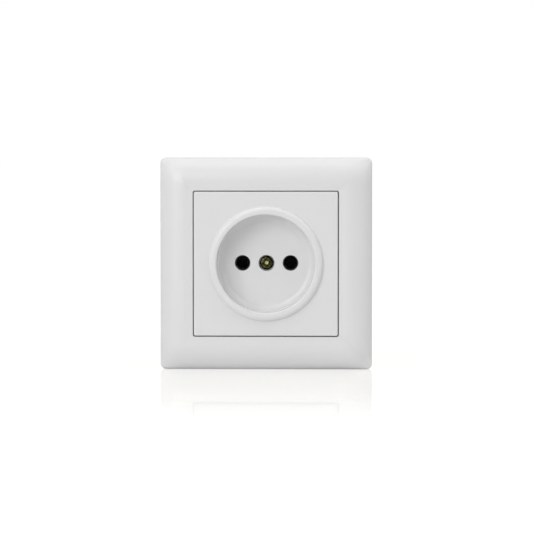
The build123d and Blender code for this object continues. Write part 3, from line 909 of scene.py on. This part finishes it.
def cross_bar(turned):
    """A bar across the head that narrows in length and width as it goes down."""
    bar = slot_cutter(CROSS_LONG, CROSS_WIDE, CROSS_DEEP, HEAD_FRONT)
    bpy.ops.object.mode_set(mode="EDIT")
    mesh = bmesh.from_edit_mesh(bar.data)
    for face in mesh.faces:
        face.select_set(face.normal.y > FACING_BACK)
    bpy.ops.transform.resize(value=(BOTTOM_LONG, 1, BOTTOM_WIDE), center_override=(0, 0, 0))
    bpy.ops.mesh.select_all(action="SELECT")
    bpy.ops.transform.rotate(value=turned, orient_axis="Y", center_override=(0, 0, 0))
    bpy.ops.object.mode_set(mode="OBJECT")
    return bar


print("cross recess", CROSS_LONG, "mm wide")

# %% Middle screw
HEAD_SEAT, HEAD_CORNER = 3.0, 0.8
SCREW_R, SCREW_PITCH = 1.5, 0.5

head = [(0, HEAD_SEAT), (HEAD_R, HEAD_SEAT)] + rounded_end(HEAD_R, HEAD_FRONT, -1, HEAD_CORNER)
cover_screw = turn("cover_screw", head)
combine(cover_screw, cross_bar(CROSS_TURN), "DIFFERENCE")
combine(cover_screw, cross_bar(CROSS_TURN + math.pi / 2), "DIFFERENCE")
combine(cover_screw, turn("cross_middle", CROSS_CONE, steps=24), "DIFFERENCE")
screw_thread = thread("cover_thread", SCREW_R, SCREW_PITCH, HEAD_SEAT - THREAD_IN_HEAD, SCREW_TIP)
combine(cover_screw, screw_thread, "UNION")
put_copies(cover_screw, ["cover_screw"], screw_zinc_with_painted_light)

# %% [markdown]
# ## The table
# The socket stands on a white glossy table that fades into a white background, keeps a soft shadow and
# mirrors the frame faintly close to it. A curved paper sweep would also do, but its bend shows in other
# views. A wide plane has no bend: to the camera it glows almost as white as the background, while some of
# it stays paper that takes the shadow. A slightly warm mirror layer is strongest near the socket and fades
# out with the distance.

# %% Table
TABLE_SIDE = 60.0
PAPER = (0.8, 0.8, 0.8, 1)
GLOW, GLOW_SHARE = 1.14, 0.85
WARM_GLOSS, GLOSS_ROUGH = (1, 0.98, 0.9, 1), 0.03
MIRROR_SHARE = 0.37
MIRROR_FULL, MIRROR_REACH = 0.08, 0.30

bpy.ops.object.select_all(action="DESELECT")
bpy.ops.mesh.primitive_plane_add(size=TABLE_SIDE, location=(0, 0, cad_low.z))
table = bpy.context.object
table.name = "studio_table"
table_finish = bpy.data.materials.new("white_gloss_table")
table_finish.use_nodes = True
tree = table_finish.node_tree
tree.nodes.clear()
seen = Wire(tree.nodes.new("ShaderNodeLightPath").outputs["Is Camera Ray"])
place = Wire(tree.nodes.new("ShaderNodeTexCoord").outputs["Object"])
paper = seen.node("ShaderNodeBsdfDiffuse", {}, {"Color": PAPER})
glow = seen.node("ShaderNodeEmission", {}, {"Strength": GLOW})
gloss = seen.node("ShaderNodeBsdfAnisotropic", {}, {"Color": WARM_GLOSS, "Roughness": GLOSS_ROUGH})
backlit = seen.node("ShaderNodeMixShader", {}, {0: GLOW_SHARE * seen, 1: paper, 2: glow})
away = place.node("ShaderNodeVectorMath", {"operation": "LENGTH"}, {0: place}, output=1)
mirror = MIRROR_SHARE * seen * (1 - ramp_up(away, MIRROR_FULL, MIRROR_REACH))
surface = seen.node("ShaderNodeMixShader", {}, {0: mirror, 1: backlit, 2: gloss})
tree.links.new(surface.socket, tree.nodes.new("ShaderNodeOutputMaterial").inputs["Surface"])
table.data.materials.append(table_finish)
print("table top at", round(cad_low.z / MM, 2), "mm")

# %% [markdown]
# ## The room
# The camera sees a plain white background. The light that fills the shadows comes from all round, but it
# is weaker than that white, or the white plastic would wash out. What the gloss mirrors is a third thing:
# behind the camera a studio is dim, and its sides are bright, so the rounded flanks pick up brighter
# streaks than the face. A Light Path node tells these three kinds of ray apart.

# %% Room
FILL = 0.383
BEHIND_CAMERA = 0.15
DIM_TO, BRIGHT_FROM = -0.94, -0.5

world = bpy.data.worlds.new("studio")
bpy.context.scene.world = world
world.use_nodes = True
tree = world.node_tree
tree.nodes.clear()
path = tree.nodes.new("ShaderNodeLightPath").outputs
seen = Wire(path["Is Camera Ray"]) + Wire(path["Is Transmission Ray"])
mirrored = Wire(path["Is Glossy Ray"])
view = Wire(tree.nodes.new("ShaderNodeTexCoord").outputs["Generated"])
depth = view.node("ShaderNodeSeparateXYZ", {}, {0: view}, output=1)


def backdrop(strength):
    """A plain white background of this strength."""
    return seen.node("ShaderNodeBackground", {}, {"Color": (1, 1, 1, 1), "Strength": strength})


def either(factor, first, second):
    """The first background where the factor is 0, the second where it is 1."""
    return seen.node("ShaderNodeMixShader", {}, {0: factor, 1: first, 2: second})


room = either(ramp_up(depth, DIM_TO, BRIGHT_FROM), backdrop(BEHIND_CAMERA), backdrop(1.0))
sky = either(seen, either(mirrored, backdrop(FILL), room), backdrop(1.0))
tree.links.new(sky.socket, tree.nodes.new("ShaderNodeOutputWorld").inputs["Surface"])
print("room fill", FILL)

# %% [markdown]
# ## The lamps
# The picture is lit by soft lamps. The shadow in the well falls from its upper left edge, so the main lamp
# is high on the left, and the bright top of the frame asks for a wide one straight above. A narrow strip
# on the left draws the soft streak down the left flank, and a weaker lamp at the upper right keeps the far
# side from going dull. Area lamps were chosen over spots because the gloss shows no hard points.

# %% Lamps
def softbox(name, spot, wide, tall, watts):
    """A rectangular lamp that looks at the socket, with its place and size in metres."""
    data = bpy.data.lights.new(name, "AREA")
    data.shape = "RECTANGLE"
    data.size = wide
    data.size_y = tall
    data.energy = watts
    lamp = bpy.data.objects.new(name, data)
    bpy.context.scene.collection.objects.link(lamp)
    lamp.location = spot
    lamp.rotation_euler = (-Vector(spot)).to_track_quat("-Z", "Y").to_euler()
    print(name, watts, "W")


softbox("key_softbox", (-0.64, -1.35, 0.56), wide=1.0, tall=1.0, watts=7.8)
softbox("left_strip", (-0.96, -1.15, 0.15), wide=0.15, tall=1.0, watts=1.3)
softbox("top_softbox", (0.1, -0.15, 1.3), wide=2.2, tall=0.8, watts=6.2)
softbox("upper_right_softbox", (0.9, -0.6, 1.0), wide=0.8, tall=0.8, watts=2.2)
bpy.context.scene.view_settings.view_transform = "Standard"
